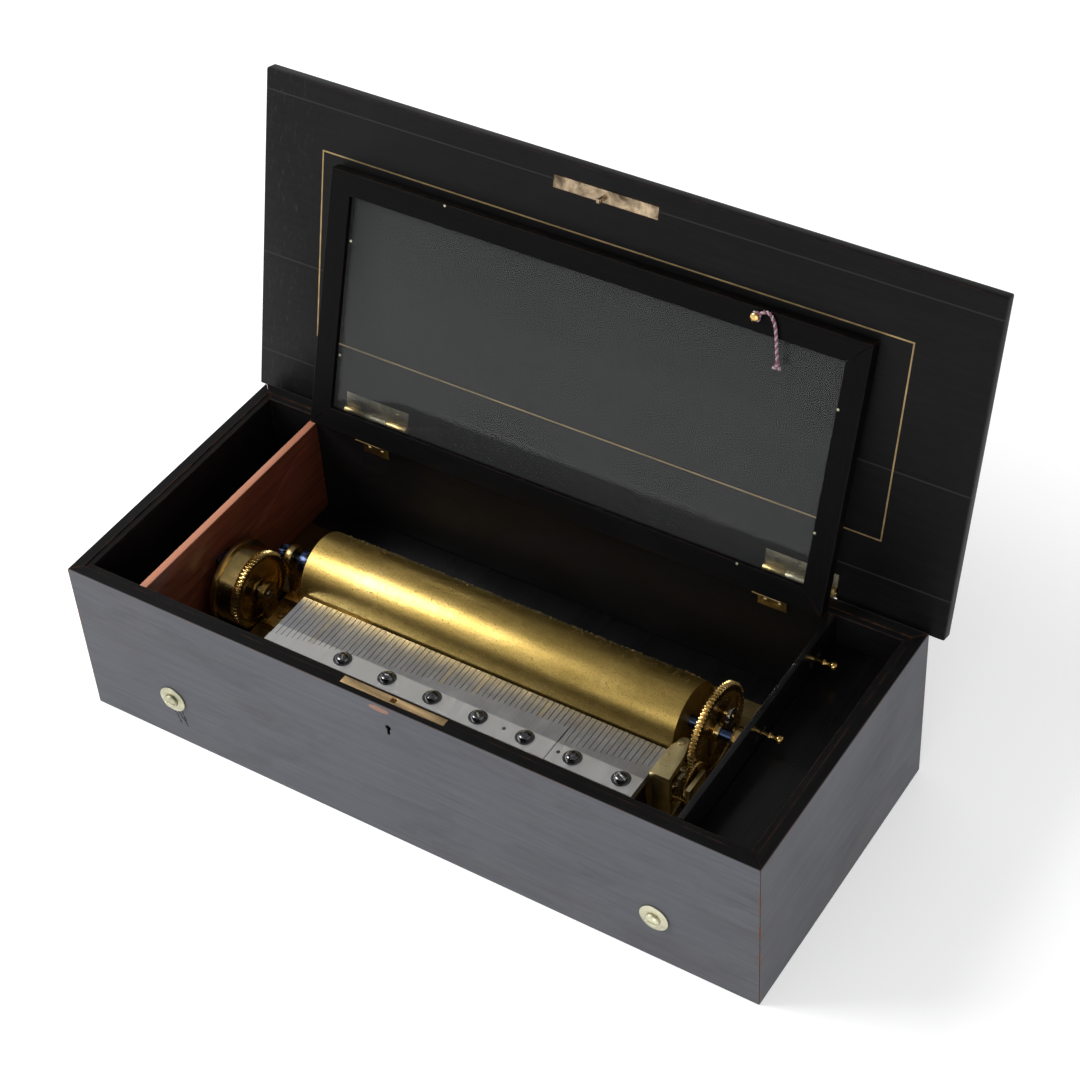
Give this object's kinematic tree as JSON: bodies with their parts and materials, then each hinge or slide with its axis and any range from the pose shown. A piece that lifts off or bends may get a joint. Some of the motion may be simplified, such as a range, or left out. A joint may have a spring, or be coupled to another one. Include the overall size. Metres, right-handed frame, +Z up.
{
  "type": "cylinder music box",
  "caption": "Key-wound cylinder music box in a black wooden case, with a leaning wooden lid, a framed glass inner lid, a pinned cylinder, a steel comb, a spring barrel and a fly governor.",
  "frame": {"origin": "centre of the underside of the case, on the surface that it stands on", "axes": "+X along the case towards the governor and the control levers, +Y towards the lid hinges at the back, +Z up"},
  "size_m": [0.517, 0.2829, 0.3392],
  "materials": {
    "ebonised_wood": "black polished, slightly worn along the edges",
    "black_inside": "gloss black",
    "mahogany": "varnished, copper red",
    "brass": "lacquered, brushed",
    "aged_brass": "dull, greyed",
    "comb_steel": "ground, satin",
    "polished_steel": "polished",
    "blued_steel": "heat blued",
    "iron": "dark, machined",
    "glass": "clear pane",
    "cord": "two-colour twisted cotton"
  },
  "bodies": {
    "case": {"barrel_bracket_left": "brass", "barrel_bracket_right": "brass", "bed_bolt_front_left": "polished_steel", "bed_bolt_front_right": "polished_steel", "bed_bolt_rear_left": "aged_brass", "bed_bolt_rear_right": "aged_brass", "bed_washer_front_left": "aged_brass", "bed_washer_front_right": "aged_brass", "bedplate": "brass", "case_back": "ebonised_wood", "case_bottom": "ebonised_wood", "case_front": "ebonised_wood", "case_left": "ebonised_wood", "case_right": "ebonised_wood", "click_spring": "blued_steel", "comb_base": "iron", "comb_bass": "comb_steel", "comb_treble": "comb_steel", "control_floor": "black_inside", "control_partition": "black_inside", "glass_hinge_case_leaf_left": "brass", "glass_hinge_case_leaf_right": "brass", "governor_block": "brass", "governor_side_plate": "brass", "key_partition": "mahogany", "left_bridge": "brass", "lid_hinge_case_leaf_left": "brass", "lid_hinge_case_leaf_right": "brass", "lock_case": "brass", "rear_batten": "black_inside", "right_bridge": "brass"},
    "lid": {"lid_board": "ebonised_wood", "lid_hinge_lid_leaf_left": "brass", "lid_hinge_lid_leaf_right": "brass", "strike_plate": "brass"},
    "glass_lid": {"glass_rail_front": "ebonised_wood", "glass_rail_left": "ebonised_wood", "glass_rail_rear": "ebonised_wood", "glass_rail_right": "ebonised_wood", "glass_pane": "glass", "glass_hinge_lid_leaf_left": "brass", "glass_hinge_lid_leaf_right": "brass", "cord_nail": "brass", "pull_cord": "cord"},
    "lock_bolt": {"lock_bolt": "brass"},
    "arbor": {"cylinder_arbor": "blued_steel", "great_wheel": "brass"},
    "cylinder": {"cylinder_shell": "brass"},
    "snail": {"tune_snail": "polished_steel"},
    "barrel": {"barrel_drum": "brass"},
    "winding": {"winding_arbor": "polished_steel", "ratchet_wheel": "polished_steel"},
    "click": {"click": "polished_steel"},
    "first_wheel": {"first_wheel": "brass"},
    "second_wheel": {"second_wheel": "polished_steel"},
    "fly": {"fly": "polished_steel"},
    "start_stop_lever": {"start_stop_lever": "brass"},
    "tune_change_lever": {"tune_change_lever": "brass"}
  },
  "joints": [
    {"name": "lid_hinge", "type": "hinge", "parent": "case", "child": "lid", "pos_m": [0, 0.11, 0.122], "axis": [1, 0, 0], "range_deg": [0, 103.75]},
    {"name": "glass_lid_hinge", "type": "hinge", "parent": "case", "child": "glass_lid", "pos_m": [0, 0.0916, 0.1195], "axis": [1, 0, 0], "range_deg": [0, 108.6]},
    {"name": "lock_bolt_slide", "type": "slide", "parent": "case", "child": "lock_bolt", "axis": [1, 0, 0], "range_m": [0, 0.005]},
    {"name": "cylinder_spin", "type": "hinge", "parent": "case", "child": "arbor", "pos_m": [0, 0.014, 0.072], "axis": [1, 0, 0], "continuous": true},
    {"name": "cylinder_shift", "type": "slide", "parent": "arbor", "child": "cylinder", "axis": [1, 0, 0], "range_m": [0, 0.002]},
    {"name": "tune_snail_turn", "type": "hinge", "parent": "arbor", "child": "snail", "pos_m": [0.1599, 0.02358, 0.08003], "axis": [1, 0, 0], "continuous": true},
    {"name": "barrel_spin", "type": "hinge", "parent": "case", "child": "barrel", "pos_m": [0, -0.01643, 0.06385], "axis": [1, 0, 0], "continuous": true},
    {"name": "winding_spin", "type": "hinge", "parent": "case", "child": "winding", "pos_m": [0, -0.01643, 0.06385], "axis": [1, 0, 0], "continuous": true},
    {"name": "click_lift", "type": "hinge", "parent": "case", "child": "click", "pos_m": [-0.1977, -0.01477, 0.08278], "axis": [1, 0, 0], "range_deg": [-14, 4], "stiffness_Nm_per_rad": 0.02},
    {"name": "first_wheel_spin", "type": "hinge", "parent": "case", "child": "first_wheel", "pos_m": [0.15, -0.01948, 0.06112], "axis": [1, 0, 0], "continuous": true},
    {"name": "second_wheel_spin", "type": "hinge", "parent": "case", "child": "second_wheel", "pos_m": [0.15, -0.02848, 0.0504], "axis": [1, 0, 0], "continuous": true},
    {"name": "fly_spin", "type": "hinge", "parent": "case", "child": "fly", "pos_m": [0.14615, -0.01987, 0.06], "axis": [0, 0, 1], "continuous": true},
    {"name": "start_stop_lever_swing", "type": "hinge", "parent": "case", "child": "start_stop_lever", "pos_m": [0.1862, -0.002, 0.062], "axis": [1, 0, 0], "range_deg": [-6, 6]},
    {"name": "tune_change_lever_swing", "type": "hinge", "parent": "case", "child": "tune_change_lever", "pos_m": [0.1862, 0.067, 0.062], "axis": [1, 0, 0], "range_deg": [-6, 6]}
  ],
  "couplings": [
    {"joint": "glass_lid_hinge", "follows": "lid_hinge", "ratio": 1.0467},
    {"joint": "barrel_spin", "follows": "cylinder_spin", "ratio": -0.2},
    {"joint": "first_wheel_spin", "follows": "cylinder_spin", "ratio": -9},
    {"joint": "second_wheel_spin", "follows": "cylinder_spin", "ratio": 54},
    {"joint": "fly_spin", "follows": "cylinder_spin", "ratio": -1620}
  ]
}
